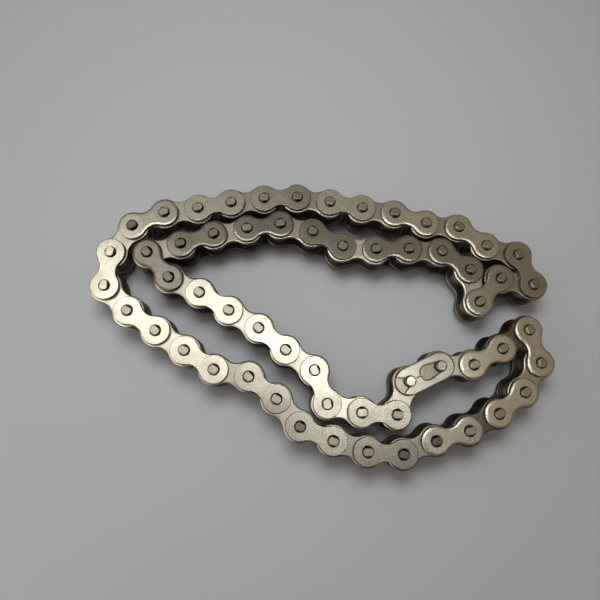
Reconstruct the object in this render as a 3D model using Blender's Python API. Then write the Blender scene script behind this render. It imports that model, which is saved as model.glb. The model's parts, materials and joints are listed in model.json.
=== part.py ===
"""A loop of roller chain, 12.7 mm pitch, lying on its side in a loose heap."""
import math

import bmesh
import bpy
import numpy as np
from mathutils import Vector

MM = 0.001

# Driving dimensions of the chain, in millimetres
PITCH = 12.7
ROLLER_DIAMETER = 7.92
INNER_WIDTH = 7.9
PIN_DIAMETER = 3.96
PLATE_THICKNESS = 1.5
OUTER_PLATE_HEIGHT = 10.4
INNER_PLATE_HEIGHT = 11.7
OUTER_WAIST_HEIGHT = 6.0
INNER_WAIST_HEIGHT = 7.6
PIN_STAND = 1.2
PLATE_PLAY = 0.15
BORE_PLAY = 0.1
STRAND_GAP = 0.2
END_SWEEP = 252
END_SIDES = 6

# Connecting link: cover plate on two grooved pins, held by a spring clip
CONNECTING_PIN_LENGTH = 17.8
GROOVE_DIAMETER = 3.1
GROOVE_PLAY = 0.15
CLIP_LIFT = 0.25
CLIP_THICKNESS = 0.9
CLIP_WIDTH = 10.2
CLIP_SLIT = 0.3
CLIP_WINDOW = 5.2
CLIP_WINDOW_START = 4.6
CLIP_THROAT = 2.9
CLIP_MOUTH = 6.4

# Heights above the floor, from the pins' lower ends up
LOWER_OUTER_PLATE = PIN_STAND
LOWER_INNER_PLATE = LOWER_OUTER_PLATE + PLATE_THICKNESS + PLATE_PLAY
ROLLER_BOTTOM = LOWER_INNER_PLATE + PLATE_THICKNESS
ROLLER_TOP = ROLLER_BOTTOM + INNER_WIDTH
UPPER_OUTER_PLATE = ROLLER_TOP + PLATE_THICKNESS + PLATE_PLAY
PIN_TOP = UPPER_OUTER_PLATE + PLATE_THICKNESS + PIN_STAND
CLIP_BOTTOM = UPPER_OUTER_PLATE + PLATE_THICKNESS + CLIP_LIFT

# The way each link points, in degrees from +X, from pin 1 round to pin 58. A scratch program worked them out
# from the pin heads' places in the photograph. They are rounded, and 41 and 46 were made parallel by hand.
# Odd entries are outer links and even entries are inner links.
HEADINGS = (
    83, 54, 24, 8, 11, 9, 4, -7, -9, -9,
    -18, -7, -35, -15, -67, 168, 225, 103, 146, 176,
    181, 175, 153, 166, 189, 191, 199, 197, -49, -27,
    -32, -31, -39, -35, -69, -14, -4, 67, 25, 2,
    28, 33, -74, -123, -143, -152, -164, -159, 176, 163,
    157, 131, 142, 169, 148, 147, 146, 134,
)
PIN_COUNT = len(HEADINGS)

# How strongly neighbouring pins move together, and how often the pins are moved:
# first while strands may come to touch or part, and then with the touching places kept
CHAIN_STIFFNESS = 8
SPACING_TURNS = 60
CLOSING_TURNS = 12

# The right lower fold swings on these pins: two parallel links carry the links between them.
SWING_PINS = (41, 42, 46, 47)
CONNECTING_PIN = 39


def unit(degrees):
    """The unit vector that points this many degrees round from +X."""
    turn = math.radians(degrees)
    return np.array([math.cos(turn), math.sin(turn)])


def spacing_rules():
    """Each rule is a weighting of two places on the chain and the least distance between them."""
    eye = np.eye(PIN_COUNT)
    clear = INNER_PLATE_HEIGHT + STRAND_GAP
    slimming = (INNER_PLATE_HEIGHT - INNER_WAIST_HEIGHT) / 2
    rules = []
    for first in range(PIN_COUNT):
        for second in range(first + 2, PIN_COUNT):
            if (second + 1) % PIN_COUNT != first:
                rules.append((eye[first] - eye[second], clear))
        for start in range(1, PIN_COUNT, 2):
            end = (start + 1) % PIN_COUNT
            if first not in (start, end):
                for share in (0.25, 0.5, 0.75):
                    along = (1 - share) * eye[start] + share * eye[end]
                    slimmer = slimming * (1 - abs(2 * share - 1))
                    rules.append((eye[first] - along, clear - slimmer))
    return rules


def settle(wanted):
    """Moves the pins as little as makes each pitch exact, with strands apart and swing links parallel."""
    eye = np.eye(PIN_COUNT)
    bend = np.roll(eye, 1, axis=0) - 2 * eye + np.roll(eye, -1, axis=0)
    stiffness = np.kron(eye + CHAIN_STIFFNESS * bend.T @ bend, np.eye(2))
    pitches = [(eye[(pin + 1) % PIN_COUNT] - eye[pin], PITCH) for pin in range(PIN_COUNT)]
    rules = spacing_rules()
    weights = np.array([rule[0] for rule in rules])
    least = np.array([rule[1] for rule in rules])
    near, out, back, far = (eye[pin - 1] for pin in SWING_PINS)
    places = wanted.copy()
    touching = []
    for turn in range(SPACING_TURNS + CLOSING_TURNS):
        if turn < SPACING_TURNS:
            tight = np.flatnonzero(np.linalg.norm(weights @ places, axis=1) < least - 1e-6)
            touching = sorted(set(touching) | set(tight.tolist()))
        rows = []
        misses = []
        for weight, length in pitches + [rules[index] for index in touching]:
            reach = weight @ places
            size = np.linalg.norm(reach)
            rows.append(np.outer(weight, reach / size).ravel())
            misses.append(length - size)
        for axis in range(2):
            row = np.zeros((PIN_COUNT, 2))
            row[:, axis] = out - near - back + far
            rows.append(row.ravel())
            misses.append(-(row * places).sum())
        rows = np.array(rows)
        pull = stiffness @ (wanted - places).ravel()
        system = np.block([[stiffness, rows.T], [rows, np.zeros((len(rows), len(rows)))]])
        answer = np.linalg.lstsq(system, np.concatenate([pull, misses]), rcond=1e-10)[0]
        places = places + answer[:2 * PIN_COUNT].reshape(PIN_COUNT, 2)
        presses = answer[2 * PIN_COUNT + PIN_COUNT:][:len(touching)]
        if turn < SPACING_TURNS:
            touching = [index for index, press in zip(touching, presses) if press < 0]
    return places


def arc(centre_x, radius, start, end, steps):
    """Points round a pin from one angle to another, in degrees."""
    turns = np.linspace(start, end, steps + 1)
    return [(centre_x + radius * unit(turn)[0], radius * unit(turn)[1]) for turn in turns]


def plate_outline(height, waist_height):
    """A plate's outline from one pin at the origin to the other at +X: round ends and a waist."""
    end = height / 2
    right = arc(PITCH, end, -END_SWEEP / 2, END_SWEEP / 2, END_SIDES)
    left = arc(0, end, 180 - END_SWEEP / 2, 180 + END_SWEEP / 2, END_SIDES)
    return right + [(PITCH / 2, waist_height / 2)] + left + [(PITCH / 2, -waist_height / 2)]


def pin_places():
    """The 58 pins' places in millimetres, with the heap's middle at the origin."""
    steps = np.array([unit(heading) for heading in HEADINGS]) * PITCH
    places = np.vstack([[0.0, 0.0], np.cumsum(steps, axis=0)[:-1]])
    drift = steps.sum(axis=0)
    places -= np.outer(np.arange(PIN_COUNT) / PIN_COUNT, drift)
    places = settle(places)
    outer = plate_outline(OUTER_PLATE_HEIGHT, OUTER_WAIST_HEIGHT)
    inner = plate_outline(INNER_PLATE_HEIGHT, INNER_WAIST_HEIGHT)
    corners = []
    for pin in range(PIN_COUNT):
        along = (places[(pin + 1) % PIN_COUNT] - places[pin]) / PITCH
        across = np.array([-along[1], along[0]])
        for x, y in (outer, inner)[pin % 2]:
            corners.append(places[pin] + x * along + y * across)
    corners = np.array(corners)
    return places - (corners.min(axis=0) + corners.max(axis=0)) / 2


def prism(bm, outline, bottom, top):
    """Adds a straight-sided solid of this outline between two heights, all in millimetres."""
    lower = [bm.verts.new(Vector((x, y, bottom)) * MM) for x, y in outline]
    face = bm.faces.new(lower)
    raised = bmesh.ops.extrude_face_region(bm, geom=[face])
    moved = [item for item in raised["geom"] if isinstance(item, bmesh.types.BMVert)]
    bmesh.ops.translate(bm, verts=moved, vec=(0, 0, (top - bottom) * MM))
    bmesh.ops.recalc_face_normals(bm, faces=bm.faces)


def polygon(sides, radius, centre_x):
    """A regular polygon round a pin, with a flat side facing +X."""
    turns = [360 * (side + 0.5) / sides for side in range(sides)]
    return [(centre_x + radius * unit(turn)[0], radius * unit(turn)[1]) for turn in turns]


def solid(name, prisms):
    """An object made of prisms that don't touch one another, each an outline, a bottom and a top."""
    mesh = bpy.data.meshes.new(name)
    bm = bmesh.new()
    for outline, bottom, top in prisms:
        prism(bm, outline, bottom, top)
    bm.to_mesh(mesh)
    bm.free()
    thing = bpy.data.objects.new(name, mesh)
    bpy.context.scene.collection.objects.link(thing)
    return thing


def combined(name, start, joined, cut):
    """One mesh from a starting solid, with others joined to it and others cut from it."""
    for operation, tools in (("UNION", joined), ("DIFFERENCE", cut)):
        for tool in tools:
            modifier = start.modifiers.new(tool.name, "BOOLEAN")
            modifier.operation = operation
            modifier.solver = "EXACT"
            modifier.object = tool
    graph = bpy.context.evaluated_depsgraph_get()
    mesh = bpy.data.meshes.new_from_object(start.evaluated_get(graph))
    mesh.name = name
    for thing in [start, *joined, *cut]:
        bpy.data.objects.remove(thing)
    return mesh


def outer_link_mesh():
    """Two outer plates riveted on two pins."""
    outline = plate_outline(OUTER_PLATE_HEIGHT, OUTER_WAIST_HEIGHT)
    plates = solid("plates", [
        (outline, LOWER_OUTER_PLATE, LOWER_OUTER_PLATE + PLATE_THICKNESS),
        (outline, UPPER_OUTER_PLATE, UPPER_OUTER_PLATE + PLATE_THICKNESS),
    ])
    pins = solid("pins", [(polygon(6, PIN_DIAMETER / 2, x), 0, PIN_TOP) for x in (0, PITCH)])
    return combined("outer_link", plates, [pins], [])


def bore_radius():
    """The corner radius of a six-sided bore in which the pin turns with its play."""
    return (PIN_DIAMETER / 2 + BORE_PLAY) / math.cos(math.pi / 6)


def inner_link_mesh():
    """Two inner plates with two bushed rollers between them, bored for the pins."""
    outline = plate_outline(INNER_PLATE_HEIGHT, INNER_WAIST_HEIGHT)
    overlap = PLATE_THICKNESS / 2
    ends = (0, PITCH)
    plates = solid("plates", [
        (outline, LOWER_INNER_PLATE, ROLLER_BOTTOM),
        (outline, ROLLER_TOP, ROLLER_TOP + PLATE_THICKNESS),
    ])
    rollers = solid("rollers", [
        (polygon(8, ROLLER_DIAMETER / 2, x), ROLLER_BOTTOM - overlap, ROLLER_TOP + overlap) for x in ends
    ])
    bores = solid("bores", [(polygon(6, bore_radius(), x), 0, PIN_TOP) for x in ends])
    return combined("inner_link", plates, [rollers], [bores])


def connecting_link_mesh():
    """The connecting link's lower plate with its two pins, each necked by a groove for the clip."""
    outline = plate_outline(OUTER_PLATE_HEIGHT, OUTER_WAIST_HEIGHT)
    plate = solid("plate", [(outline, LOWER_OUTER_PLATE, LOWER_OUTER_PLATE + PLATE_THICKNESS)])
    low = CLIP_BOTTOM - GROOVE_PLAY
    high = CLIP_BOTTOM + CLIP_THICKNESS + GROOVE_PLAY
    ends = (0, PITCH)
    shanks = solid("shanks", [(polygon(6, PIN_DIAMETER / 2, x), 0, low) for x in ends])
    necks = solid("necks", [(polygon(6, GROOVE_DIAMETER / 2, x), low - 1, high + 0.5) for x in ends])
    heads = solid("heads", [(polygon(6, PIN_DIAMETER / 2, x), high, CONNECTING_PIN_LENGTH) for x in ends])
    return combined("connecting_link", plate, [shanks, necks, heads], [])


def cover_plate_mesh():
    """The connecting link's loose upper plate, bored to slide over both pins."""
    outline = plate_outline(OUTER_PLATE_HEIGHT, OUTER_WAIST_HEIGHT)
    plate = solid("plate", [(outline, UPPER_OUTER_PLATE, UPPER_OUTER_PLATE + PLATE_THICKNESS)])
    bores = solid("bores", [(polygon(6, bore_radius(), x), 0, CONNECTING_PIN_LENGTH) for x in (0, PITCH)])
    return combined("cover_plate", plate, [], [bores])


def spring_clip_mesh():
    """The spring clip: round past both pins, with a slit, a tapering window and a flared mouth."""
    half = CLIP_WIDTH / 2
    hug = GROOVE_DIAMETER / 2 + GROOVE_PLAY
    window = CLIP_WINDOW / 2
    window_centre = CLIP_WINDOW_START + window
    throat = math.degrees(math.asin(CLIP_THROAT / 2 / hug))
    mouth = math.degrees(math.asin(CLIP_MOUTH / 2 / half))
    slit_at_pin = math.degrees(math.asin(CLIP_SLIT / 2 / hug))
    slit_at_window = math.degrees(math.asin(CLIP_SLIT / 2 / window))
    taper = math.degrees(math.asin((window - hug) / (PITCH - window_centre)))
    edge = arc(PITCH, half, 0, 90, 3) + arc(0, half, 90, 180 - mouth, 2)
    near_hole = arc(0, hug, 180 - throat, slit_at_pin, 4)
    round_end = arc(window_centre, window, 180 - slit_at_window, 90 - taper, 3)
    far_hole = arc(PITCH, hug, 90 - taper, 0, 3)
    upper = edge + near_hole + round_end + far_hole
    lower = [(x, -y) for x, y in reversed(upper[1:-1])]
    clip = solid("clip", [(upper + lower, CLIP_BOTTOM, CLIP_BOTTOM + CLIP_THICKNESS)])
    return combined("spring_clip", clip, [], [])


def metal(name, colour, roughness):
    """Bare plated steel of one colour."""
    material = bpy.data.materials.new(name)
    material.use_nodes = True
    shader = material.node_tree.nodes["Principled BSDF"]
    shader.inputs["Base Color"].default_value = (*colour, 1)
    shader.inputs["Metallic"].default_value = 1
    shader.inputs["Roughness"].default_value = roughness
    return material


def place(name, mesh, pin, places, parent, colour, roughness):
    """Puts a link's piece on the chain, with its own origin on the pin where the link starts."""
    thing = bpy.data.objects.new(name, mesh)
    bpy.context.scene.collection.objects.link(thing)
    start = places[pin - 1]
    along = places[pin % PIN_COUNT] - start
    thing.parent = parent
    thing.location = Vector((*start, 0)) * MM - parent.location
    thing.rotation_euler = (0, 0, math.atan2(along[1], along[0]))
    if not mesh.materials:
        mesh.materials.append(None)
    thing.material_slots[0].link = "OBJECT"
    thing.material_slots[0].material = metal(name, colour, roughness)
    return thing


def empty(name, location):
    """An empty that holds pieces together."""
    thing = bpy.data.objects.new(name, None)
    thing.location = location
    bpy.context.scene.collection.objects.link(thing)
    return thing


def build():
    """Builds the whole heap, link by link round the loop."""
    for thing in list(bpy.data.objects):
        bpy.data.objects.remove(thing)
    places = pin_places()
    heap = empty("heap", (0, 0, 0))
    fold = empty("right_fold", Vector((*places[SWING_PINS[1] - 1], 0)) * MM)
    outer = outer_link_mesh()
    inner = inner_link_mesh()
    for pin in range(1, PIN_COUNT + 1):
        parent = fold if SWING_PINS[1] <= pin < SWING_PINS[2] else heap
        link = (pin + 1) // 2
        if pin == CONNECTING_PIN:
            place("connecting_link", connecting_link_mesh(), pin, places, parent, (0.54, 0.50, 0.41), 0.28)
            place("cover_plate", cover_plate_mesh(), pin, places, parent, (0.54, 0.50, 0.41), 0.28)
            place("spring_clip", spring_clip_mesh(), pin, places, parent, (0.57, 0.53, 0.44), 0.26)
        elif pin % 2 == 1:
            place(f"outer_link_{link:02d}", outer, pin, places, parent, (0.52, 0.47, 0.38), 0.3)
        else:
            place(f"inner_link_{pin // 2:02d}", inner, pin, places, parent, (0.48, 0.43, 0.35), 0.33)


if __name__ == "__main__":
    build()
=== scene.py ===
"""A loop of plated roller chain lying on its side, every plate, pin, bushing and roller its own piece."""
import json
import math

import bmesh
import bpy
from bpy.props import FloatProperty, FloatVectorProperty, IntProperty, PointerProperty
from mathutils import Matrix, Vector


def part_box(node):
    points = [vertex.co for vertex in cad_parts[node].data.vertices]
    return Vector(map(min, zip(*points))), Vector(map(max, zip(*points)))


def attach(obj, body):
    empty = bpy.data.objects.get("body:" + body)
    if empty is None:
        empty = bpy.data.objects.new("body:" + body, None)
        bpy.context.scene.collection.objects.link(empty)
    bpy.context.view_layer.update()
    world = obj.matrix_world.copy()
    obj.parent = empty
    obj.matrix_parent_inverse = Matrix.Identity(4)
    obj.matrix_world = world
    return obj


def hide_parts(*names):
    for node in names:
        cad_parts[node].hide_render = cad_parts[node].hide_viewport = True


bl_info = {
    "name": "Roller Chain Heap",
    "version": (1, 0, 0),
    "blender": (4, 5, 0),
    "location": "3D View > Sidebar > Chain",
    "description": "Plates, pins, bushings, rollers and the spring clip of a loop of roller chain",
    "category": "Object",
}

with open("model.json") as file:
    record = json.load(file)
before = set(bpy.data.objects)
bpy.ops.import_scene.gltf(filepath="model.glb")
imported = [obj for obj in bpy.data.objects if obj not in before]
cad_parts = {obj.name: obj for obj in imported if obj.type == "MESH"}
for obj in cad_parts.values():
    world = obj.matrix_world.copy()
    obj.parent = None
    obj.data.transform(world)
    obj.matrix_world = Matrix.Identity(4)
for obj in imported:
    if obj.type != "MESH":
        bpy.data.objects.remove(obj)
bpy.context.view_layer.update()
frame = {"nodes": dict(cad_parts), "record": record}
MM = 0.001

# Closer than this, two points are one
SAME_POINT = 0.002 * MM
# A packed pin's foot lies lower than this, and its corners lie nearer to each other than this
NEAR_FLOOR = 0.1 * MM
SAME_PIN = 6 * MM
# Digits that round a place to a micron
MICRON_DIGITS = 6

# Sides of the round pieces and holes
HOLE_SIDES = 24
PIN_SIDES = 24
BUSHING_SIDES = 20
ROLLER_SIDES = 28
# Steps round a plate's hollow fillet: a share of those round its end, and the fewest
HOLLOW_SHARE = 0.35
FEWEST_HOLLOW_STEPS = 4
# Edges that turn by more than this stay sharp in the shading
SHARP_ANGLE = math.radians(38)

# Shares of the roll-off's width in its three bands, from the edge inwards
ROLL_OFF_BANDS = (0.35, 0.5, 0.15)
# Width of the margin that keeps a flat face flat in the shading, on a plate and on the clip
PLATE_MARGIN = 0.1 * MM
CLIP_MARGIN = 0.06 * MM
# How far past its radius a hole's rim is looked for, and how much of its bevel gets oil and the painted shade
# that rings a pin
HOLE_SLACK = 0.1 * MM
OIL_AND_SHADE_MOUTH = 0.9
INNER_HOLE_CHAMFER = 0.08 * MM

# Staking moves the corners this near a pin's end that lie this far past the bar left across it
STAKE_DEPTH = 0.3 * MM
PAST_BAR = 0.01 * MM
# The cut along the bar takes a corner nearer than this as lying on it
CUT_CLOSE = 0.001 * MM
# A staked pin has an edge loop this far past the lowest part of its sloped sides
BELOW_STAKE = 0.1 * MM
# The neck's play on either side of the clip, the start of its lower shoulder, and its bevelled upper lip
GROOVE_PLAY = 0.1 * MM
GROOVE_SHOULDER = 0.12 * MM
LIP_START = 0.14 * MM
LIP_END = 0.25 * MM
LIP_BEVEL = 0.1 * MM
# The bevel of a connecting pin's crown, and the clip's play round the neck
CROWN = 0.42 * MM
CLIP_HUG = 0.12 * MM

# Fits and broken edges of the bushings and rollers
BUSHING_SLACK = 0.01 * MM
BUSHING_CHAMFER = 0.1 * MM
ROLLER_BORE_PLAY = 0.05 * MM
ROLLER_CHAMFER = 0.3 * MM
ROLLER_PLAY = 0.12 * MM

# Each piece's first finish is its own steel, and these are the next two: oily steel that also paints the
# shade inside the links and round the pins, and dull cut-edge steel that also paints the dark outline of
# shade round plates and clip
OIL_AND_SHADE = 1
CUT_EDGE_AND_SHADE = 2

# Limits on the Z of a face's normal, which tell flat faces, upright walls and inward faces
FLAT = 0.999
WALL = 0.5
INWARD = -0.9
# A plate's faces are plated above this, where its rolled or its sharp side faces out; below it they take the
# dull cut edge, which also paints the dark outline of shade round the plate
PLATED_ROLLED = 0.6
PLATED_SHARP = 0.98
# Faces steeper than this are the oily sides of staked and of crowned pins, which also paint the shade round
# the heads, and the clip's cut edge, which also paints the shade of its outline
STAKED_FLAT = 0.75
CROWN_FLAT = 0.95
CLIP_EDGE = 0.3

OUTER_LINKS = [name for name in sorted(frame["nodes"]) if name.startswith("outer_link")]
INNER_LINKS = [name for name in sorted(frame["nodes"]) if name.startswith("inner_link")]
CLIP_LINK = "connecting_link"
CLIP_LINK_NUMBER = 20

# Links, numbered as their nodes are: the strand that darkens along its length, the outer plates that show the
# side that the punch rolled over, and the inner plates that show their sharp side
DARKER_STRAND_LINKS = range(10, 16)
ROLLED_SIDE_UP = (2, 6, 7, 9, 10, 11, 13, 14, 15, 21, 22, 23, 24)
SHARP_INNER_LINKS = (2, 3)
# Painted light and shade standing in for the links' small tilts: how many times the painted shade step the
# plates after these pins are darkened, where those below zero get a painted highlight. Pins count from zero,
# in order round the loop
PAINTED_LIGHT_AFTER_PIN = (
    (1.6, (41, 45)),
    (1.0, (27, 47, 48, 49, 52, 53)),
    (0.5, (5, 19, 36, 50, 51)),
    (-1.0, (8, 10, 12, 17, 21, 35, 40, 42, 44, 57)),
)
# Pins whose heads get painted shade or a painted highlight, and by how many times the painted shade step
PAINTED_SHADE_PINS = (2, 26, 27, 28, 29, 47, 48, 51)
PAINTED_HIGHLIGHT_PINS = (0, 1, 34, 35, 36)
PIN_PAINTED_LIGHT = 1.5
# Shares of the darkening on the darker strand's lighter end and on its inner plates, and the share of its
# link's darkening or painted light that a pin takes
LEAST_DARKENING = 0.3
INNER_DARKENING = 0.4
PIN_DARKENING = 0.4
# Pin heads are turned a little, each by another amount
HEAD_TURN = math.radians(8)
HEAD_TURN_STEP = 2.4
# Sockets of a colour mix node
MIX_SHARE, MIX_FIRST, MIX_SECOND, MIX_RESULT = 0, 6, 7, 2


def span(node):
    """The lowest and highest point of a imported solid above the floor."""
    low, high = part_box(node)
    return low.z, high.z


PIN_LOW, PIN_HIGH = span(OUTER_LINKS[0])
INNER_LOW, INNER_HIGH = span(INNER_LINKS[0])
COVER_LOW, COVER_HIGH = span("cover_plate")
CLIP_LOW, CLIP_HIGH = span("spring_clip")
CLIP_PIN_HIGH = span(CLIP_LINK)[1]
LOWER_PLATE = PIN_HIGH - COVER_HIGH


def pin_pair(node):
    """The two places where a packed outer link's pins meet the floor, each corner of a foot counted once."""
    low = [vertex.co for vertex in frame["nodes"][node].data.vertices if vertex.co.z < NEAR_FLOOR]
    corners = {(round(corner.x, MICRON_DIGITS), round(corner.y, MICRON_DIGITS)) for corner in low}
    feet = [Vector(corner) for corner in sorted(corners)]
    far = max(feet, key=lambda foot: (foot - feet[0]).length)
    there = [foot for foot in feet if (foot - far).length < SAME_PIN]
    here = [foot for foot in feet if (foot - far).length >= SAME_PIN]
    return [sum(group, Vector((0, 0))) / len(group) for group in (there, here)]


def loop_of_pins():
    """Every pin's place in order round the loop, two for each outer link."""
    nodes = OUTER_LINKS[:CLIP_LINK_NUMBER - 1] + [CLIP_LINK] + OUTER_LINKS[CLIP_LINK_NUMBER - 1:]
    pairs = [pin_pair(node) for node in nodes]
    pitch = (pairs[0][0] - pairs[0][1]).length
    pins = []
    for pair, following in zip(pairs, pairs[1:] + pairs[:1]):
        pair.sort(key=lambda pin: -min(abs((pin - other).length - pitch) for other in following))
        pins += pair
    return pins


PINS = loop_of_pins()
PITCH = (PINS[1] - PINS[0]).length
BODY_OF = {node: body for body, nodes in frame["record"]["behaviour"]["bodies"].items() for node in nodes}


class ChainSizes(bpy.types.PropertyGroup):
    """The sizes of the chain's pieces that a maker would change."""
    plate_thickness: FloatProperty(
        name="Plate thickness", description="Thickness of every link plate",
        default=COVER_HIGH - COVER_LOW, unit="LENGTH")
    outer_end_radius: FloatProperty(
        name="Outer plate end", description="Radius of an outer plate's round end",
        default=5.2 * MM, unit="LENGTH")
    outer_waist: FloatProperty(
        name="Outer plate waist", description="Half the height of an outer plate's waist",
        default=3.0 * MM, unit="LENGTH")
    inner_end_radius: FloatProperty(
        name="Inner plate end", description="Radius of an inner plate's round end",
        default=5.85 * MM, unit="LENGTH")
    inner_waist: FloatProperty(
        name="Inner plate waist", description="Half the height of an inner plate's waist",
        default=3.8 * MM, unit="LENGTH")
    edge_rounding: FloatProperty(
        name="Edge rounding", description="Radius of the tumbled edge of a plate",
        default=0.25 * MM, unit="LENGTH")
    inner_rounding: FloatProperty(
        name="Inner edge rounding", description="Radius of an inner plate's tumbled edge",
        default=0.4 * MM, unit="LENGTH")
    sharp_rounding: FloatProperty(
        name="Sharp edge rounding", description="Radius of the edge on a punched plate's sharp side",
        default=0.18 * MM, unit="LENGTH")
    outer_roll_off: FloatProperty(
        name="Outer roll-off", description="Width over which the rolled side of an outer plate falls away",
        default=0.55 * MM, unit="LENGTH")
    inner_roll_off: FloatProperty(
        name="Inner roll-off", description="Width over which an inner plate's face falls away to its edge",
        default=0.12 * MM, unit="LENGTH")
    roll_off_slope: FloatProperty(
        name="Roll-off slope", description="Slope of a punched face beside its edges",
        default=math.radians(7.5), subtype="ANGLE")
    hole_play: FloatProperty(
        name="Hole play", description="Open ring between a pin and the mouth of its hole",
        default=0.1 * MM, unit="LENGTH")
    hole_chamfer: FloatProperty(
        name="Hole chamfer", description="Broken edge of an outer plate's holes",
        default=0.12 * MM, unit="LENGTH")
    pin_radius: FloatProperty(
        name="Pin radius", description="Radius of a pin's shank", default=1.98 * MM, unit="LENGTH")
    pin_chamfer: FloatProperty(
        name="Pin chamfer", description="Broken edge of a pin's end", default=0.3 * MM, unit="LENGTH")
    head_half_width: FloatProperty(
        name="Head half width", description="Half the width of the flat left across a staked pin head",
        default=1.32 * MM, unit="LENGTH")
    head_ridge: FloatProperty(
        name="Head ridge", description="Rounding between a pin head's flat and its staked sides",
        default=0.1 * MM, unit="LENGTH")
    head_fall: FloatProperty(
        name="Head fall", description="How far the staked sides of a pin head slope down",
        default=0.9 * MM, unit="LENGTH")
    bushing_radius: FloatProperty(
        name="Bushing radius", description="Outer radius of a bushing", default=2.8 * MM, unit="LENGTH")
    roller_radius: FloatProperty(
        name="Roller radius", description="Outer radius of a roller", default=3.96 * MM, unit="LENGTH")
    clip_radius: FloatProperty(
        name="Clip end radius", description="Radius of the spring clip's round end",
        default=5.1 * MM, unit="LENGTH")
    clip_mouth: FloatProperty(
        name="Clip mouth", description="Angle between the clip's flared jaws",
        default=math.radians(77), subtype="ANGLE")
    clip_throat: FloatProperty(
        name="Clip throat", description="Gap between the jaws where they grip the pin",
        default=2.9 * MM, unit="LENGTH")
    clip_window: FloatProperty(
        name="Clip window", description="Width of the window between the clip's arms",
        default=5.2 * MM, unit="LENGTH")
    clip_window_start: FloatProperty(
        name="Clip window start", description="From the gripped pin's axis to the window's round end",
        default=4.6 * MM, unit="LENGTH")
    clip_rounding: FloatProperty(
        name="Clip rounding", description="Rounding of the clip's edges", default=0.28 * MM, unit="LENGTH")
    clip_roll_off: FloatProperty(
        name="Clip roll-off", description="Width over which the clip's face falls away to its edge",
        default=0.25 * MM, unit="LENGTH")
    clip_slit: FloatProperty(
        name="Clip slit", description="Width of the slit from the gripped pin to the window",
        default=0.16 * MM, unit="LENGTH")
    groove_radius: FloatProperty(
        name="Groove radius", description="Radius of a connecting pin's neck under the clip",
        default=1.55 * MM, unit="LENGTH")
    round_steps: IntProperty(
        name="Round steps", description="Sides round a plate's end", default=20, min=8, max=48)


class ChainFinish(bpy.types.PropertyGroup):
    """The colours and gloss of the chain's plated steel, and the painted shade and highlights on it."""
    plate_colour: FloatVectorProperty(
        name="Plate colour", description="Plated steel of the link plates", subtype="COLOR", size=3,
        default=(0.50, 0.45, 0.335), min=0, max=1)
    pin_colour: FloatVectorProperty(
        name="Pin colour", description="Bare steel of the staked pin heads", subtype="COLOR", size=3,
        default=(0.345, 0.307, 0.232), min=0, max=1)
    roller_colour: FloatVectorProperty(
        name="Roller colour", description="Oiled steel of the rollers", subtype="COLOR", size=3,
        default=(0.42, 0.385, 0.32), min=0, max=1)
    clip_colour: FloatVectorProperty(
        name="Clip colour", description="Steel of the clip and its two pins", subtype="COLOR", size=3,
        default=(0.53, 0.485, 0.37), min=0, max=1)
    stain_colour: FloatVectorProperty(
        name="Stain colour", description="Brown tarnish on the plating", subtype="COLOR", size=3,
        default=(0.34, 0.23, 0.13), min=0, max=1)
    # Painted shade: the oil colour also stands for the shade inside the links, in the ring round each pin and
    # on the staked sides of the heads
    oil_and_shade_colour: FloatVectorProperty(
        name="Oil colour", description="Oil and grime on the faces inside the links and round the pins",
        subtype="COLOR", size=3, default=(0.12, 0.108, 0.088), min=0, max=1)
    # Painted shade: the nearly black cut edges also draw the shadowed gap and dark outline round each plate
    # and the clip
    cut_edge_and_shade_colour: FloatVectorProperty(
        name="Cut edge colour", description="Dull steel of the punched edges", subtype="COLOR", size=3,
        default=(0.115, 0.1, 0.08), min=0, max=1)
    # Darkens the strand inside the loop's top, most at its far end
    darkening: FloatProperty(
        name="Grime", description="Share of its light that the grimiest link loses",
        default=0.7, min=0, max=1)
    # Painted shade: the share of its light that a piece painted dull loses; links painted bright gain a
    # multiple of it as a painted highlight
    painted_shade_step: FloatProperty(
        name="Dullness", description="Share of its light that a dull link loses", default=0.4, min=0, max=1)
    plate_roughness: FloatProperty(
        name="Plate roughness", description="Roughness of the plating", default=0.28, min=0, max=1)


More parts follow.
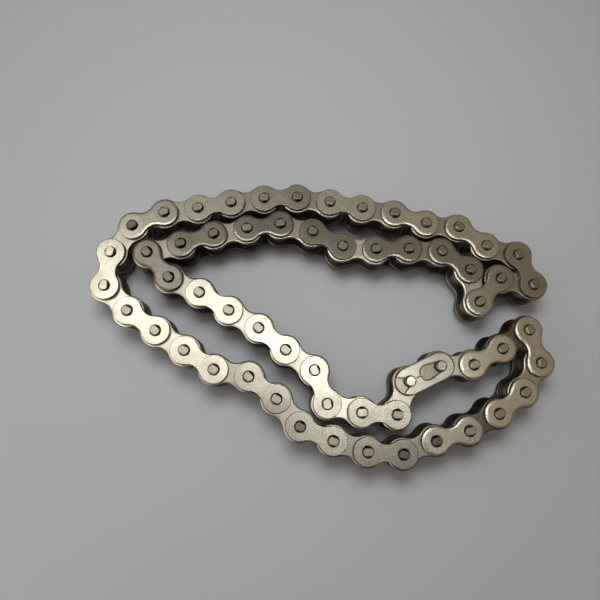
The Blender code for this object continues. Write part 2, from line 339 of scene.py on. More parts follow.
class ChainStage(bpy.types.PropertyGroup):
    """The floor, the lights and the camera."""
    floor_colour: FloatVectorProperty(
        name="Floor colour", description="The pale table top", subtype="COLOR", size=3,
        default=(0.72, 0.725, 0.735), min=0, max=1)
    room_strength: FloatProperty(
        name="Room strength", description="Brightness of the plain room round the table",
        default=0.21, min=0, max=2)
    room_colour: FloatVectorProperty(
        name="Room colour", description="Tint of the room", subtype="COLOR", size=3,
        default=(1, 0.98, 0.925), min=0, max=1)
    brown_side_colour: FloatVectorProperty(
        name="Brown side colour", description="Tint of the room's right-hand side", subtype="COLOR", size=3,
        default=(0.94, 0.745, 0.56), min=0, max=1)
    window_gain: FloatProperty(
        name="Window gain", description="How many times brighter the room's left-hand side is",
        default=2.5, min=0)
    near_side_gain: FloatProperty(
        name="Near side gain", description="Share of its light that the near side of the room keeps",
        default=0.25, min=0, max=1)
    window_power: FloatProperty(
        name="Window power", description="Power of the window card", default=5.4, min=0, unit="POWER")
    ceiling_power: FloatProperty(
        name="Ceiling power", description="Power of the ceiling card", default=0.55, min=0, unit="POWER")
    strip_power: FloatProperty(
        name="Strip power", description="Power of the strip lamp", default=2.6, min=0, unit="POWER")
    strip_heading: FloatProperty(
        name="Strip heading", description="Turn of the strip lamp over the heap",
        default=math.radians(-19.5), subtype="ANGLE")
    lens: FloatProperty(
        name="Lens", description="Focal length for a 36 mm wide picture", default=30.0, unit="CAMERA")
    camera_foot_x: FloatProperty(
        name="Camera foot X", description="Where the camera stands over the heap, along it",
        default=-17.4 * MM, unit="LENGTH")
    camera_foot_y: FloatProperty(
        name="Camera foot Y", description="Where the camera stands over the heap, across it",
        default=-28.3 * MM, unit="LENGTH")
    camera_height: FloatProperty(
        name="Camera height", description="Height of the camera above the pin heads", default=179.4 * MM,
        unit="LENGTH")
    aim_x: FloatProperty(
        name="Aim X", description="Where the camera looks, along the heap", default=-8.8 * MM, unit="LENGTH")
    aim_y: FloatProperty(
        name="Aim Y", description="Where the camera looks, across the heap", default=7.0 * MM, unit="LENGTH")
    picture_slant: FloatProperty(
        name="Picture slant", description="Rise of the picture's right-hand side over its width",
        default=0.0075)


def swept(bm, corner, centre, angle, steps):
    """Sweeps a corner round an upright axis into a chain of edges, and returns its far end."""
    made = bmesh.ops.spin(
        bm, geom=[corner], cent=centre, axis=(0, 0, 1), dvec=(0, 0, 0), angle=angle, steps=steps,
        use_merge=False, use_duplicate=False)
    return next(item for item in made["geom_last"] if isinstance(item, bmesh.types.BMVert))


def figure_eight(bm, end_radius, waist, steps):
    """A plate's outline: two round ends joined by two hollow fillets."""
    middle = PITCH / 2
    fillet = (middle ** 2 + waist ** 2 - end_radius ** 2) / (2 * (end_radius - waist))
    reach = waist + fillet
    lean = math.atan2(reach, middle)
    hollow_steps = max(FEWEST_HOLLOW_STEPS, round(steps * HOLLOW_SHARE))
    corner = bm.verts.new(Vector((math.cos(lean), math.sin(lean), 0)) * end_radius)
    corner = swept(bm, corner, (0, 0, 0), 2 * math.pi - 2 * lean, steps)
    corner = swept(bm, corner, (middle, -reach, 0), 2 * lean - math.pi, hollow_steps)
    corner = swept(bm, corner, (PITCH, 0, 0), 2 * math.pi - 2 * lean, steps)
    swept(bm, corner, (middle, reach, 0), 2 * lean - math.pi, hollow_steps)
    bmesh.ops.remove_doubles(bm, verts=bm.verts[:], dist=SAME_POINT)


def ring_at(bm, x, radius, sides):
    """A round edge loop about a pin."""
    bmesh.ops.create_circle(
        bm, cap_ends=False, segments=sides, radius=radius, matrix=Matrix.Translation((x, 0, 0)))


def thicken(bm, thickness):
    """Fills flat outlines, holes left open, and raises them into a plate."""
    bmesh.ops.triangle_fill(bm, edges=bm.edges[:], use_beauty=True, use_dissolve=False, normal=(0, 0, 1))
    raised = bmesh.ops.extrude_face_region(bm, geom=bm.faces[:])
    top = [item for item in raised["geom"] if isinstance(item, bmesh.types.BMVert)]
    bmesh.ops.translate(bm, verts=top, vec=(0, 0, thickness))
    bmesh.ops.recalc_face_normals(bm, faces=bm.faces[:])


def rim_edges(bm, wanted):
    """Edges between a flat face and an upright wall whose middle answers the test."""
    rims = []
    for edge in bm.edges:
        if len(edge.link_faces) == 2:
            upright = [abs(face.normal.z) < WALL for face in edge.link_faces]
            middle = (edge.verts[0].co + edge.verts[1].co) / 2
            if upright[0] != upright[1] and wanted(middle):
                rims.append(edge)
    return rims


def round_rims(bm, edges, size, segments):
    """Rounds these edges."""
    bmesh.ops.bevel(
        bm, geom=edges, offset=size, offset_type="OFFSET", segments=segments, profile=0.5, affect="EDGES",
        material=-1, clamp_overlap=True)


def roll_off(bm, width, fall, mouth=0.0):
    """Lets the upper face fall away to its edges, but not to the holes' mouths, by raising the rest."""
    flats = [face for face in bm.faces if face.normal.z > FLAT]
    top = max(vert.co.z for vert in bm.verts)
    for share in ROLL_OFF_BANDS:
        bmesh.ops.inset_region(
            bm, faces=flats, thickness=width * share, depth=fall * share, use_even_offset=True,
            use_boundary=True)
    for vert in bm.verts:
        if vert.co.z > top - SAME_POINT and near_a_pin(vert.co, mouth):
            vert.co.z = top + fall
    bm.normal_update()


def hold_flats(bm, width):
    """Insets the flat faces a little, so that only the rims shade round."""
    flats = [face for face in bm.faces if abs(face.normal.z) > FLAT]
    bmesh.ops.inset_region(bm, faces=flats, thickness=width, use_even_offset=True, use_boundary=True)


def near_a_pin(point, reach):
    """True within this reach of either pin's axis."""
    flat = Vector((point.x, point.y, 0))
    return min(flat.length, (flat - Vector((PITCH, 0, 0))).length) < reach


def give_finish(bm, finish, wanted):
    """Gives this finish of the piece to the faces whose middle and normal answer the test."""
    for face in bm.faces:
        if wanted(face.calc_center_median(), face.normal):
            face.material_index = finish


def plate(end_radius, waist, hole_radius, hole_rounding, rounding, roll, plated):
    """A link plate lying with its first pin at the origin, its second along +X and its inward face down."""
    sizes = bpy.context.scene.chain_sizes
    fall = roll * math.tan(sizes.roll_off_slope)
    bm = bmesh.new()
    figure_eight(bm, end_radius, waist, sizes.round_steps)
    for x in (0, PITCH):
        ring_at(bm, x, hole_radius, HOLE_SIDES)
    thicken(bm, sizes.plate_thickness - fall)
    hole_reach = hole_radius + HOLE_SLACK
    holes = rim_edges(bm, lambda middle: near_a_pin(middle, hole_reach))
    round_rims(bm, holes, hole_rounding, segments=1)
    outside = rim_edges(bm, lambda middle: not near_a_pin(middle, hole_reach + hole_rounding))
    round_rims(bm, outside, rounding, segments=3)
    if roll:
        roll_off(bm, roll, fall, hole_reach + hole_rounding + roll)
    hold_flats(bm, PLATE_MARGIN)
    mouth = hole_radius + hole_rounding * OIL_AND_SHADE_MOUTH
    # The dull cut edges also paint the dark outline of shade round the plate; oil with painted shade covers
    # its inward face and rings its holes
    give_finish(bm, CUT_EDGE_AND_SHADE, lambda middle, normal: normal.z < plated)
    give_finish(bm, OIL_AND_SHADE, lambda middle, normal: normal.z < INWARD or near_a_pin(middle, mouth))
    return bm


def outer_plate(rolled):
    """A plate of an outer link, with the side that the punch rolled over or its sharp side facing out."""
    sizes = bpy.context.scene.chain_sizes
    return plate(
        sizes.outer_end_radius, sizes.outer_waist, sizes.pin_radius + sizes.hole_play, sizes.hole_chamfer,
        rounding=sizes.edge_rounding if rolled else sizes.sharp_rounding,
        roll=sizes.outer_roll_off if rolled else 0,
        plated=PLATED_ROLLED if rolled else PLATED_SHARP)


def inner_plate(rolled):
    """A plate of an inner link, pressed on its bushings, rolled over or sharp on its outward side."""
    sizes = bpy.context.scene.chain_sizes
    return plate(
        sizes.inner_end_radius, sizes.inner_waist, sizes.bushing_radius, INNER_HOLE_CHAMFER,
        rounding=sizes.inner_rounding if rolled else sizes.sharp_rounding,
        roll=sizes.inner_roll_off if rolled else 0,
        plated=PLATED_ROLLED if rolled else PLATED_SHARP)


def turned(profile, sides):
    """A solid of revolution about Z from radius and height pairs, from axis to axis or closed on itself."""
    bm = bmesh.new()
    corners = [bm.verts.new((radius, 0, height)) for radius, height in profile]
    edges = [bm.edges.new(pair) for pair in zip(corners, corners[1:])]
    if profile[0][0] > 0:
        edges.append(bm.edges.new((corners[-1], corners[0])))
    bmesh.ops.spin(
        bm, geom=corners + edges, cent=(0, 0, 0), axis=(0, 0, 1), dvec=(0, 0, 0), angle=2 * math.pi,
        steps=sides, use_merge=True, use_duplicate=False)
    bmesh.ops.remove_doubles(bm, verts=bm.verts[:], dist=SAME_POINT)
    bmesh.ops.recalc_face_normals(bm, faces=bm.faces[:])
    poles = [vert for vert in bm.verts if vert.co.xy.length < SAME_POINT]
    bmesh.ops.dissolve_verts(bm, verts=poles)
    return bm


def stake(bm, height, outward):
    """Leaves a flat bar along the link across a pin's end and slopes the two sides beside it."""
    sizes = bpy.context.scene.chain_sizes
    half = sizes.head_half_width
    for side in (1, -1):
        whole = bm.verts[:] + bm.edges[:] + bm.faces[:]
        bmesh.ops.bisect_plane(
            bm, geom=whole, dist=CUT_CLOSE, plane_co=(0, side * half, 0), plane_no=(0, 1, 0),
            clear_inner=False, clear_outer=False)
    for vert in bm.verts:
        past = abs(vert.co.y) - half
        if past > PAST_BAR and abs(vert.co.z - height) < STAKE_DEPTH:
            vert.co.z -= outward * sizes.head_fall * past / (sizes.pin_radius - half)
    ridges = [edge for edge in bm.edges if all(
        abs(abs(vert.co.y) - half) < SAME_POINT and abs(vert.co.z - height) < SAME_POINT
        for vert in edge.verts)]
    round_rims(bm, ridges, sizes.head_ridge, segments=2)
    bm.normal_update()
    bar = [face for face in bm.faces if face.normal.z * outward > FLAT]
    bmesh.ops.inset_region(
        bm, faces=bar, thickness=sizes.head_ridge, use_even_offset=True, use_boundary=True)
    bm.normal_update()


def riveted_pin():
    """A pin staked at both ends, with oil and painted shade on its sides."""
    sizes = bpy.context.scene.chain_sizes
    radius = sizes.pin_radius
    chamfer = sizes.pin_chamfer
    staked = sizes.head_fall + BELOW_STAKE
    bm = turned([
        (0, PIN_LOW), (radius - chamfer, PIN_LOW), (radius, PIN_LOW + chamfer), (radius, PIN_LOW + staked),
        (radius, PIN_HIGH - staked), (radius, PIN_HIGH - chamfer), (radius - chamfer, PIN_HIGH),
        (0, PIN_HIGH),
    ], PIN_SIDES)
    stake(bm, PIN_HIGH, 1)
    stake(bm, PIN_LOW, -1)
    # Oil and painted shade on the staked slopes and shank: the dark crescents beside each head
    give_finish(bm, OIL_AND_SHADE, lambda middle, normal: abs(normal.z) < STAKED_FLAT)
    return bm


def grooved_pin():
    """A connecting pin: staked below, necked for the clip and crowned above."""
    sizes = bpy.context.scene.chain_sizes
    radius = sizes.pin_radius
    neck = sizes.groove_radius
    chamfer = sizes.pin_chamfer
    bm = turned([
        (0, PIN_LOW), (radius - chamfer, PIN_LOW), (radius, PIN_LOW + chamfer),
        (radius, CLIP_LOW - GROOVE_SHOULDER), (neck, CLIP_LOW - GROOVE_PLAY), (neck, CLIP_HIGH + GROOVE_PLAY),
        (radius - LIP_BEVEL, CLIP_HIGH + LIP_START), (radius, CLIP_HIGH + LIP_END),
        (radius, CLIP_PIN_HIGH - CROWN), (radius - CROWN, CLIP_PIN_HIGH), (0, CLIP_PIN_HIGH),
    ], PIN_SIDES)
    stake(bm, PIN_LOW, -1)
    # Oil and painted shade on the crown's bevel and the shank: the dark ring round the pin
    give_finish(bm, OIL_AND_SHADE, lambda middle, normal: abs(normal.z) < CROWN_FLAT)
    return bm


def tube(outer, inner, low, high, chamfer, sides):
    """An open tube with chamfered rims, for a bushing or a roller."""
    return turned([
        (inner, low), (outer - chamfer, low), (outer, low + chamfer), (outer, high - chamfer),
        (outer - chamfer, high), (inner, high),
    ], sides)


def half_clip(bm):
    """The upper half of the clip's outline, from its round end over the jaw and back through the window."""
    sizes = bpy.context.scene.chain_sizes
    half = sizes.clip_radius
    hug = sizes.groove_radius + CLIP_HUG
    flare = sizes.clip_mouth / 2
    throat = math.asin(sizes.clip_throat / 2 / hug)
    slit = sizes.clip_slit / 2
    window = sizes.clip_window / 2
    window_centre = sizes.clip_window_start + window
    taper = math.asin((window - hug) / (PITCH - window_centre))
    round_end = swept(bm, bm.verts.new((PITCH + half, 0, 0)), (PITCH, 0, 0), math.pi / 2, steps=14)
    shoulder = bm.verts.new((0, half, 0))
    bm.edges.new((round_end, shoulder))
    jaw = swept(bm, shoulder, (0, 0, 0), math.pi / 2 - flare, steps=7)
    grip = bm.verts.new((-hug * math.cos(throat), hug * math.sin(throat), 0))
    bm.edges.new((jaw, grip))
    slit_mouth = swept(bm, grip, (0, 0, 0), throat - math.pi + math.asin(slit / hug), steps=8)
    wide = bm.verts.new((window_centre + window * math.sin(taper), window * math.cos(taper), 0))
    window_turn = math.pi / 2 + taper - math.asin(slit / window)
    slit_end = swept(bm, wide, (window_centre, 0, 0), window_turn, steps=9)
    bm.edges.new((slit_mouth, slit_end))
    narrow = bm.verts.new((PITCH + hug * math.sin(taper), hug * math.cos(taper), 0))
    bm.edges.new((wide, narrow))
    swept(bm, narrow, (PITCH, 0, 0), taper - math.pi / 2, steps=7)


def beside_slit(point):
    """True on the two edges of the slit between the gripped pin and the window."""
    sizes = bpy.context.scene.chain_sizes
    return abs(point.y) < sizes.clip_slit and sizes.groove_radius < point.x < sizes.clip_window_start


def spring_clip():
    """The flat spring clip, at its height on the connecting pins."""
    bm = bmesh.new()
    half_clip(bm)
    bmesh.ops.mirror(
        bm, geom=bm.verts[:] + bm.edges[:], matrix=Matrix.Identity(4), merge_dist=SAME_POINT, axis="Y")
    bmesh.ops.remove_doubles(bm, verts=bm.verts[:], dist=SAME_POINT)
    sizes = bpy.context.scene.chain_sizes
    fall = sizes.clip_roll_off * math.tan(sizes.roll_off_slope)
    thicken(bm, CLIP_HIGH - CLIP_LOW - fall)
    rims = rim_edges(bm, lambda middle: not beside_slit(middle))
    round_rims(bm, rims, sizes.clip_rounding, segments=3)
    roll_off(bm, sizes.clip_roll_off, fall)
    hold_flats(bm, CLIP_MARGIN)
    bmesh.ops.translate(bm, verts=bm.verts[:], vec=(0, 0, CLIP_LOW))
    # The clip's cut edge also paints the dark outline of shade round it; its inward face gets oil and painted
    # shade
    give_finish(bm, CUT_EDGE_AND_SHADE, lambda middle, normal: abs(normal.z) < CLIP_EDGE)
    give_finish(bm, OIL_AND_SHADE, lambda middle, normal: normal.z < INWARD)
    return bm


def laid(number, turn=0.0, along=0.0):
    """The move that takes a piece from the origin to the link after this pin, turned first about its axis."""
    start = PINS[number]
    end = PINS[(number + 1) % len(PINS)]
    heading = math.atan2(end.y - start.y, end.x - start.x)
    place = Matrix.Translation((start.x, start.y, 0)) @ Matrix.Rotation(heading, 4, "Z")
    return place @ Matrix.Translation((along, 0, 0)) @ Matrix.Rotation(turn, 4, "Z")


def turned_over(height):
    """The move that lays a plate at this height with its inward face up."""
    thickness = bpy.context.scene.chain_sizes.plate_thickness
    return Matrix.Translation((0, 0, height + thickness)) @ Matrix.Rotation(math.pi, 4, "X")


def darkening_on(number):
    """How much the plates after this pin are darkened: painted shade, or below zero a painted highlight, for
    the listed links, and the strand inside the loop's top darker along its length.
    """
    finish = bpy.context.scene.chain_finish
    link = number // 2 + 1
    for share, numbers in PAINTED_LIGHT_AFTER_PIN:
        if number in numbers:
            return share * finish.painted_shade_step
    if link not in DARKER_STRAND_LINKS:
        return 0.0
    along = (link - DARKER_STRAND_LINKS[0]) / (len(DARKER_STRAND_LINKS) - 1)
    return finish.darkening * (LEAST_DARKENING + (1 - LEAST_DARKENING) * along) * (INNER_DARKENING if number % 2 else 1.0)


def darkening_on_pin(number):
    """How much a pin is darkened: less than its link, but for the heads given painted shade or a painted
    highlight.
    """
    most = PIN_PAINTED_LIGHT * bpy.context.scene.chain_finish.painted_shade_step
    if number in PAINTED_HIGHLIGHT_PINS:
        return -most
    return most if number in PAINTED_SHADE_PINS else PIN_DARKENING * darkening_on(number - number % 2)


def in_scene(name, data):
    """A new object with this data, in the scene."""
    made = bpy.data.objects.new(name, data)
    bpy.context.scene.collection.objects.link(made)
    return made


def put(name, shape, move, node, finishes, darkening=0.0):
    """Makes one piece of the chain from a shape, moved to its place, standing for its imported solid."""
    copied = shape.copy()
    copied.transform(move)
    mesh = bpy.data.meshes.new(name)
    copied.to_mesh(mesh)
    copied.free()
    mesh.shade_smooth()
    mesh.set_sharp_from_angle(angle=SHARP_ANGLE)
    for finish in finishes:
        mesh.materials.append(finish)
    # The darkening attribute carries painted shade and, below zero, painted highlights, besides the darker
    # strand
    layer = mesh.attributes.new("darkening", "FLOAT", "POINT")
    layer.data.foreach_set("value", [darkening] * len(mesh.vertices))
    piece = in_scene(name, mesh)
    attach(piece, BODY_OF[node])
    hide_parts(node)


def node_of(number):
    """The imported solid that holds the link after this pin."""
    link = number // 2 + 1
    if number % 2:
        return f"inner_link_{link:02d}"
    return CLIP_LINK if link == CLIP_LINK_NUMBER else f"outer_link_{link:02d}"


def socket(group, name, kind, way, default=None):
    """One named input or output of a node group."""
    made = group.interface.new_socket(name=name, in_out=way, socket_type=kind)
    if default is not None:
        made.default_value = default


def wear_and_painted_light_group():
    """The steel's grain, mottling, brown tarnish and waviness, with places for its colours and amounts, and
    the painted shade and highlights of its piece's darkening attribute.
    """
    group = bpy.data.node_groups.get("steel_wear_and_painted_light")
    if group:
        return group
    group = bpy.data.node_groups.new("steel_wear_and_painted_light", "ShaderNodeTree")
    socket(group, "Steel", "NodeSocketColor", "INPUT", (0.6, 0.55, 0.48, 1))
    socket(group, "Stain", "NodeSocketColor", "INPUT", (0.3, 0.2, 0.12, 1))
    socket(group, "Stain amount", "NodeSocketFloat", "INPUT", 0.3)
    socket(group, "Roughness", "NodeSocketFloat", "INPUT", 0.34)
    socket(group, "Grain", "NodeSocketFloat", "INPUT", 1.0)
    socket(group, "Color", "NodeSocketColor", "OUTPUT")
    socket(group, "Roughness", "NodeSocketFloat", "OUTPUT")
    socket(group, "Height in mm", "NodeSocketFloat", "OUTPUT")
    nodes, links = group.nodes, group.links
    entry = nodes.new("NodeGroupInput")
    leave = nodes.new("NodeGroupOutput")
    place = nodes.new("ShaderNodeTexCoord")

    def noise(scale, detail, roughness):
        texture = nodes.new("ShaderNodeTexNoise")
        texture.inputs["Scale"].default_value = scale
        texture.inputs["Detail"].default_value = detail
        texture.inputs["Roughness"].default_value = roughness
        links.new(place.outputs["Object"], texture.inputs["Vector"])
        return texture.outputs["Fac"]

    def spread(value, low, high, to_low, to_high):
        ramp = nodes.new("ShaderNodeMapRange")
        ramp.inputs["From Min"].default_value = low
        ramp.inputs["From Max"].default_value = high
        ramp.inputs["To Min"].default_value = to_low
        ramp.inputs["To Max"].default_value = to_high
        links.new(value, ramp.inputs["Value"])
        return ramp.outputs["Result"]

    def maths(operation, first, second):
        node = nodes.new("ShaderNodeMath")
        node.operation = operation
        for index, value in enumerate((first, second)):
            if isinstance(value, (int, float)):
                node.inputs[index].default_value = value
            else:
                links.new(value, node.inputs[index])
        return node.outputs[0]

    mottle = noise(scale=420, detail=5, roughness=0.65)
    grain = noise(scale=2600, detail=3, roughness=0.7)
    waves = noise(scale=50, detail=0, roughness=0.5)
    patches = spread(noise(scale=110, detail=4, roughness=0.6), 0.50, 0.70, to_low=0, to_high=1)
    specks = spread(noise(scale=1500, detail=2, roughness=0.5), 0.69, 0.74, to_low=0, to_high=1)
    speck_share, stain_roughness = 0.5, 0.18
    stain = maths("MULTIPLY", patches, entry.outputs["Stain amount"])
    stain = maths("ADD", stain, maths("MULTIPLY", specks, speck_share))
    stain.node.use_clamp = True

    shade = nodes.new("ShaderNodeVectorMath")
    shade.operation = "SCALE"
    links.new(entry.outputs["Steel"], shade.inputs[0])
    # Painted light and shade: the piece's darkening attribute dims the colour, or brightens it where it is
    # below zero
    darkening_attribute = nodes.new("ShaderNodeAttribute")
    darkening_attribute.attribute_name = "darkening"
    lightness = maths("SUBTRACT", 1.0, darkening_attribute.outputs["Fac"])
    mottling = spread(mottle, 0.3, 0.7, to_low=0.88, to_high=1.10)
    links.new(maths("MULTIPLY", lightness, mottling), shade.inputs["Scale"])
    mix = nodes.new("ShaderNodeMix")
    mix.data_type = "RGBA"
    links.new(stain, mix.inputs[MIX_SHARE])
    links.new(shade.outputs[0], mix.inputs[MIX_FIRST])
    links.new(entry.outputs["Stain"], mix.inputs[MIX_SECOND])
    links.new(mix.outputs[MIX_RESULT], leave.inputs["Color"])

    rough = maths("ADD", entry.outputs["Roughness"], maths("MULTIPLY", stain, stain_roughness))
    rough = maths("ADD", rough, spread(grain, 0.3, 0.7, to_low=-0.05, to_high=0.05))
    links.new(rough, leave.inputs["Roughness"])
    grain_height, dent_height, wave_height = 0.004, 0.014, 0.35
    fine = maths("MULTIPLY", grain, maths("MULTIPLY", entry.outputs["Grain"], grain_height))
    coarse = maths("ADD", maths("MULTIPLY", mottle, dent_height), maths("MULTIPLY", waves, wave_height))
    links.new(maths("ADD", fine, coarse), leave.inputs["Height in mm"])
    return group


def steel(name, colour, stain_amount, roughness, grain=1.0):
    """A steel finish with its own colour, tarnish and grain, dimmed or brightened by its piece's painted
    light and shade.
    """
    material = bpy.data.materials.get(name)
    if material:
        return material
    finish = bpy.context.scene.chain_finish
    material = bpy.data.materials.new(name)
    material.use_nodes = True
    nodes, links = material.node_tree.nodes, material.node_tree.links
    shader = nodes["Principled BSDF"]
    shader.inputs["Metallic"].default_value = 1
    wear_and_painted_light = nodes.new("ShaderNodeGroup")
    wear_and_painted_light.node_tree = wear_and_painted_light_group()
    wear_and_painted_light.inputs["Steel"].default_value = (*colour, 1)
    wear_and_painted_light.inputs["Stain"].default_value = (*finish.stain_colour, 1)
    wear_and_painted_light.inputs["Stain amount"].default_value = stain_amount
    wear_and_painted_light.inputs["Roughness"].default_value = roughness
    wear_and_painted_light.inputs["Grain"].default_value = grain
    links.new(wear_and_painted_light.outputs["Color"], shader.inputs["Base Color"])
    links.new(wear_and_painted_light.outputs["Roughness"], shader.inputs["Roughness"])
    relief = nodes.new("ShaderNodeBump")
    relief.inputs["Strength"].default_value = 1
    relief.inputs["Distance"].default_value = MM
    links.new(wear_and_painted_light.outputs["Height in mm"], relief.inputs["Height"])
    links.new(relief.outputs["Normal"], shader.inputs["Normal"])
    return material


def outer_plating():
    """The finish of the outer, connecting and cover plates."""
    finish = bpy.context.scene.chain_finish
    return steel(
        "outer_plate_plating", finish.plate_colour, stain_amount=0.2, roughness=finish.plate_roughness)


def inner_plating():
    """The slightly rougher finish of the inner plates."""
    finish = bpy.context.scene.chain_finish
    return steel(
        "inner_plate_plating", finish.plate_colour, stain_amount=0.3, roughness=finish.plate_roughness + 0.03)


def dark_finishes():
    """The oily steel inside the links and round the pins, dark with oil and painted shade, and the rougher
    steel of punched edges, dark with the painted shade of each outline.
    """
    finish = bpy.context.scene.chain_finish
    return (
        steel("oil_and_shade_steel", finish.oil_and_shade_colour, stain_amount=0.1, roughness=0.38),
        steel("cut_edge_and_shade_steel", finish.cut_edge_and_shade_colour, stain_amount=0.3, roughness=0.42, grain=2.0))


def put_plate_pair(kind, number, shape, finishes, lower_height, upper_height):
    """Puts the two plates of the link after this pin in place, the lower one turned over."""
    node = node_of(number)
    link = number // 2 + 1
    darkening = darkening_on(number)
    lower = laid(number) @ turned_over(lower_height)
    upper = laid(number) @ Matrix.Translation((0, 0, upper_height))
    put(f"{kind}_lower_{link:02d}", shape, lower, node, finishes, darkening)
    put(f"{kind}_upper_{link:02d}", shape, upper, node, finishes, darkening)


class CHAIN_OT_outer_plates(bpy.types.Operator):
    """Makes the two outer plates of each riveted link"""
    bl_idname = "chain.outer_plates"
    bl_label = "Outer plates"

    def execute(self, context):
        finishes = (outer_plating(), *dark_finishes())
        rolled, sharp = outer_plate(True), outer_plate(False)
        for number in range(0, len(PINS), 2):
            if node_of(number) != CLIP_LINK:
                shape = rolled if number // 2 + 1 in ROLLED_SIDE_UP else sharp
                put_plate_pair(
                    "outer_plate", number, shape, finishes, LOWER_PLATE, COVER_LOW)
        rolled.free()
        sharp.free()
        return {"FINISHED"}


class CHAIN_OT_inner_plates(bpy.types.Operator):
    """Makes the two inner plates of each roller link"""
    bl_idname = "chain.inner_plates"
    bl_label = "Inner plates"

    def execute(self, context):
        finishes = (inner_plating(), *dark_finishes())
        upper_height = INNER_HIGH - context.scene.chain_sizes.plate_thickness
        rolled, sharp = inner_plate(True), inner_plate(False)
        for number in range(1, len(PINS), 2):
            shape = sharp if number // 2 + 1 in SHARP_INNER_LINKS else rolled
            put_plate_pair(
                "inner_plate", number, shape, finishes, INNER_LOW, upper_height)
        rolled.free()
        sharp.free()
        return {"FINISHED"}


class CHAIN_OT_bushings_and_rollers(bpy.types.Operator):
    """Makes the bushings and the rollers that turn on them"""
    bl_idname = "chain.bushings_and_rollers"
    bl_label = "Bushings and rollers"

    def execute(self, context):
        sizes, finish = context.scene.chain_sizes, context.scene.chain_finish
        # The bushings take the oily finish: oil and painted shade deep inside the rollers
        bushing_finish = dark_finishes()[:1]
        roller_steel = steel(
            "roller_steel", finish.roller_colour, stain_amount=0.25, roughness=0.28, grain=0.4)
        bushing = tube(
            sizes.bushing_radius - BUSHING_SLACK, sizes.pin_radius + sizes.hole_play, INNER_LOW, INNER_HIGH,
            BUSHING_CHAMFER, BUSHING_SIDES)
        roller = tube(
            sizes.roller_radius, sizes.bushing_radius + ROLLER_BORE_PLAY,
            INNER_LOW + sizes.plate_thickness + ROLLER_PLAY, INNER_HIGH - sizes.plate_thickness - ROLLER_PLAY,
            ROLLER_CHAMFER, ROLLER_SIDES)
        for number in range(1, len(PINS), 2):
            node = node_of(number)
            for end in (0, 1):
                label = (number + end) % len(PINS) + 1
                move = laid(number, along=end * PITCH)
                put(f"bushing_{label:02d}", bushing, move, node, bushing_finish)
                put(f"roller_{label:02d}", roller, move, node, (roller_steel,))
        bushing.free()
        roller.free()
        return {"FINISHED"}


class CHAIN_OT_riveted_pins(bpy.types.Operator):
    """Makes the pins, staked into the outer plates"""
    bl_idname = "chain.riveted_pins"
    bl_label = "Riveted pins"

    def execute(self, context):
        finish = context.scene.chain_finish
        pin_steel = steel("pin_steel", finish.pin_colour, stain_amount=0.4, roughness=0.33, grain=2.0)
        finishes = (pin_steel, *dark_finishes())
        shape = riveted_pin()
        for number in range(0, len(PINS), 2):
            node = node_of(number)
            if node != CLIP_LINK:
                for end in (0, 1):
                    label = number + end + 1
                    turn = HEAD_TURN * math.sin(label * HEAD_TURN_STEP)
                    move = laid(number, turn=turn, along=end * PITCH)
                    darkening = darkening_on_pin(number + end)
                    put(f"pin_{label:02d}", shape, move, node, finishes, darkening)
        shape.free()
        return {"FINISHED"}


class CHAIN_OT_connecting_link(bpy.types.Operator):
    """Makes the connecting link: its lower plate, two grooved pins, cover plate and spring clip"""
    bl_idname = "chain.connecting_link"
    bl_label = "Connecting link"

    def execute(self, context):
        finish = context.scene.chain_finish
        number = (CLIP_LINK_NUMBER - 1) * 2
        pin_steel = steel("connecting_pin_steel", finish.clip_colour, stain_amount=0.15, roughness=0.24)
        clip_steel = steel("clip_plating", finish.clip_colour, stain_amount=0.3, roughness=0.3)
        plate_finishes = (outer_plating(), *dark_finishes())
        shape = outer_plate(False)
        lower = laid(number) @ turned_over(LOWER_PLATE)
        upper = laid(number) @ Matrix.Translation((0, 0, COVER_LOW))
        put("connecting_plate", shape, lower, CLIP_LINK, plate_finishes)
        # Painted shade: the cover plate is darkened by one painted shade step, for the shade under the clip
        put("clip_side_plate", shape, upper, "cover_plate", plate_finishes, finish.painted_shade_step)
        shape.free()
        pin = grooved_pin()
        for end in (0, 1):
            move = laid(number, along=end * PITCH)
            pin_name = f"connecting_pin_{number + end + 1}"
            put(pin_name, pin, move, CLIP_LINK, (pin_steel, *dark_finishes()))
        pin.free()
        clip = spring_clip()
        put("clip", clip, laid(number), "spring_clip", (clip_steel, *dark_finishes()))
        clip.free()
        return {"FINISHED"}


def light(name, place, aim, size, power, colour):
    """One soft area light aimed at a point on the floor."""
    data = bpy.data.lights.new(name, "AREA")
    data.shape = "RECTANGLE"
    data.size, data.size_y = size
    data.energy = power
    data.color = colour
    lamp = in_scene(name, data)
    lamp.location = place
    lamp.rotation_euler = (Vector(aim) - Vector(place)).to_track_quat("-Z", "Y").to_euler()
    return lamp


def studio_lights(stage):
    """The window card and the long strip lamp that the metal shows, and the ceiling card over the floor."""
    window = light(
        "window_card", place=(-0.62, -0.42, 0.45), aim=(0, 0, 0), size=(0.9, 0.6),
        power=stage.window_power, colour=(0.91, 0.94, 1))
    window.visible_diffuse = False
    ceiling = light(
        "ceiling_card", place=(-0.04, 0.125, 0.36), aim=(0, -0.12, 0), size=(0.18, 0.12),
        power=stage.ceiling_power, colour=(0.93, 0.985, 1))
    ceiling.visible_glossy = False
    strip = light(
        "strip_lamp", place=(-0.12, 0.121, 1.0), aim=(-0.12, 0.121, 0), size=(0.9, 0.075),
        power=stage.strip_power, colour=(0.88, 0.925, 1))
    strip.rotation_euler.z = stage.strip_heading
    strip.visible_diffuse = False


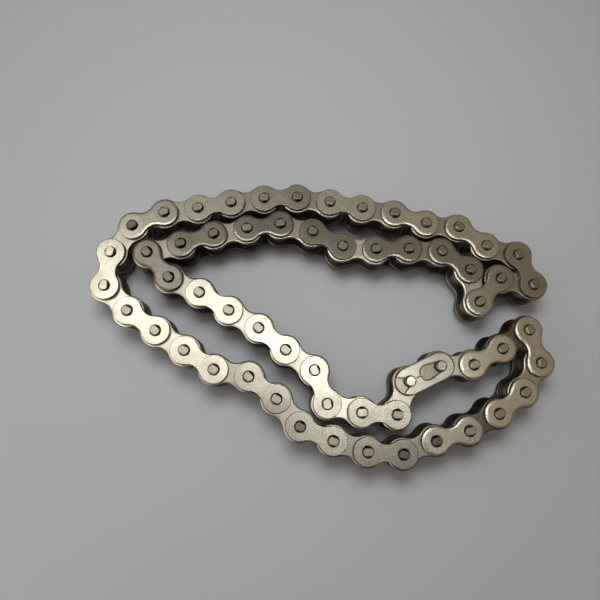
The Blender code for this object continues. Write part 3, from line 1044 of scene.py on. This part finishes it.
def room_glow(world, stage):
    """Lights the world as a plain room: brown on the right, bright low on the left, dim on the near side."""
    nodes, links = world.node_tree.nodes, world.node_tree.links
    background = nodes["Background"]
    way = nodes.new("ShaderNodeTexCoord")
    axes = nodes.new("ShaderNodeSeparateXYZ")
    links.new(way.outputs["Generated"], axes.inputs[0])

    def ramp(axis, start, end, low, high):
        side = nodes.new("ShaderNodeMapRange")
        side.interpolation_type = "SMOOTHSTEP"
        side.inputs["From Min"].default_value = start
        side.inputs["From Max"].default_value = end
        side.inputs["To Min"].default_value = low
        side.inputs["To Max"].default_value = high
        links.new(axes.outputs[axis], side.inputs["Value"])
        return side.outputs["Result"]

    def times(first, second):
        product = nodes.new("ShaderNodeMath")
        product.operation = "MULTIPLY"
        links.new(first, product.inputs[0])
        links.new(second, product.inputs[1])
        return product.outputs[0]

    mix = nodes.new("ShaderNodeMix")
    mix.data_type = "RGBA"
    mix.inputs[MIX_FIRST].default_value = (*stage.room_colour, 1)
    mix.inputs[MIX_SECOND].default_value = (*stage.brown_side_colour, 1)
    links.new(ramp("X", start=0.1, end=0.5, low=0, high=1), mix.inputs[MIX_SHARE])
    links.new(mix.outputs[MIX_RESULT], background.inputs["Color"])
    left_side = ramp("X", start=-0.8, end=-0.4, low=stage.window_gain, high=1)
    near_side = ramp("Y", start=-0.6, end=-0.1, low=stage.near_side_gain, high=1)
    strength = nodes.new("ShaderNodeValue")
    strength.outputs[0].default_value = stage.room_strength
    links.new(times(times(left_side, near_side), strength.outputs[0]), background.inputs["Strength"])


def table_top(stage):
    """The plain pale floor, a hair below the pins' feet."""
    half_width, drop = 1.5, 0.02 * MM
    bm = bmesh.new()
    bmesh.ops.create_grid(bm, x_segments=1, y_segments=1, size=half_width)
    mesh = bpy.data.meshes.new("table_top")
    bm.to_mesh(mesh)
    bm.free()
    floor = in_scene("table_top", mesh)
    floor.location.z = -drop
    material = bpy.data.materials.new("table_top")
    material.use_nodes = True
    shader = material.node_tree.nodes["Principled BSDF"]
    shader.inputs["Base Color"].default_value = (*stage.floor_colour, 1)
    shader.inputs["Roughness"].default_value = 0.55
    mesh.materials.append(material)


def camera_over(stage):
    """The camera, standing over the heap and tipped towards its middle."""
    data = bpy.data.cameras.new("camera")
    data.lens = stage.lens
    data.sensor_width = 36
    data.clip_start = 5 * MM
    camera = in_scene("camera", data)
    camera.location = (stage.camera_foot_x, stage.camera_foot_y, PIN_HIGH + stage.camera_height)
    aim = Vector((stage.aim_x, stage.aim_y, PIN_HIGH))
    back = (camera.location - aim).normalized()
    right = Vector((1, stage.picture_slant, 0))
    right = (right - back * right.dot(back)).normalized()
    up = back.cross(right)
    camera.rotation_euler = Matrix((right, up, back)).transposed().to_euler()
    return camera


class CHAIN_OT_stage(bpy.types.Operator):
    """Makes the pale floor, the soft lights and the camera"""
    bl_idname = "chain.stage"
    bl_label = "Stage"

    def execute(self, context):
        stage = context.scene.chain_stage
        table_top(stage)
        world = context.scene.world or bpy.data.worlds.new("studio")
        context.scene.world = world
        world.use_nodes = True
        room_glow(world, stage)
        studio_lights(stage)
        context.scene.camera = camera_over(stage)
        context.scene.view_settings.view_transform = "Standard"
        return {"FINISHED"}


class CHAIN_PT_sidebar(bpy.types.Panel):
    """The chain's sizes, finish and steps"""
    bl_label = "Roller chain"
    bl_idname = "CHAIN_PT_sidebar"
    bl_space_type = "VIEW_3D"
    bl_region_type = "UI"
    bl_category = "Chain"

    def draw(self, context):
        for settings in (context.scene.chain_sizes, context.scene.chain_finish, context.scene.chain_stage):
            box = self.layout.box()
            for name in settings.__annotations__:
                box.prop(settings, name)
        for operator in STEPS:
            self.layout.operator(operator.bl_idname)


SETTINGS = (ChainSizes, ChainFinish, ChainStage)
STEPS = (
    CHAIN_OT_outer_plates,
    CHAIN_OT_inner_plates,
    CHAIN_OT_bushings_and_rollers,
    CHAIN_OT_riveted_pins,
    CHAIN_OT_connecting_link,
    CHAIN_OT_stage,
)
CLASSES = (*SETTINGS, *STEPS, CHAIN_PT_sidebar)


def register():
    """Registers the classes and hangs their settings on the scene."""
    for cls in CLASSES:
        bpy.utils.register_class(cls)
    bpy.types.Scene.chain_sizes = PointerProperty(type=ChainSizes)
    bpy.types.Scene.chain_finish = PointerProperty(type=ChainFinish)
    bpy.types.Scene.chain_stage = PointerProperty(type=ChainStage)


def unregister():
    """Takes the settings and the classes away again."""
    for name in ("chain_sizes", "chain_finish", "chain_stage"):
        delattr(bpy.types.Scene, name)
    for cls in reversed(CLASSES):
        bpy.utils.unregister_class(cls)


def main():
    """Builds the chain and its stage in order."""
    register()
    bpy.ops.chain.outer_plates()
    bpy.ops.chain.inner_plates()
    bpy.ops.chain.bushings_and_rollers()
    bpy.ops.chain.riveted_pins()
    bpy.ops.chain.connecting_link()
    bpy.ops.chain.stage()


if __name__ == "__main__":
    main()
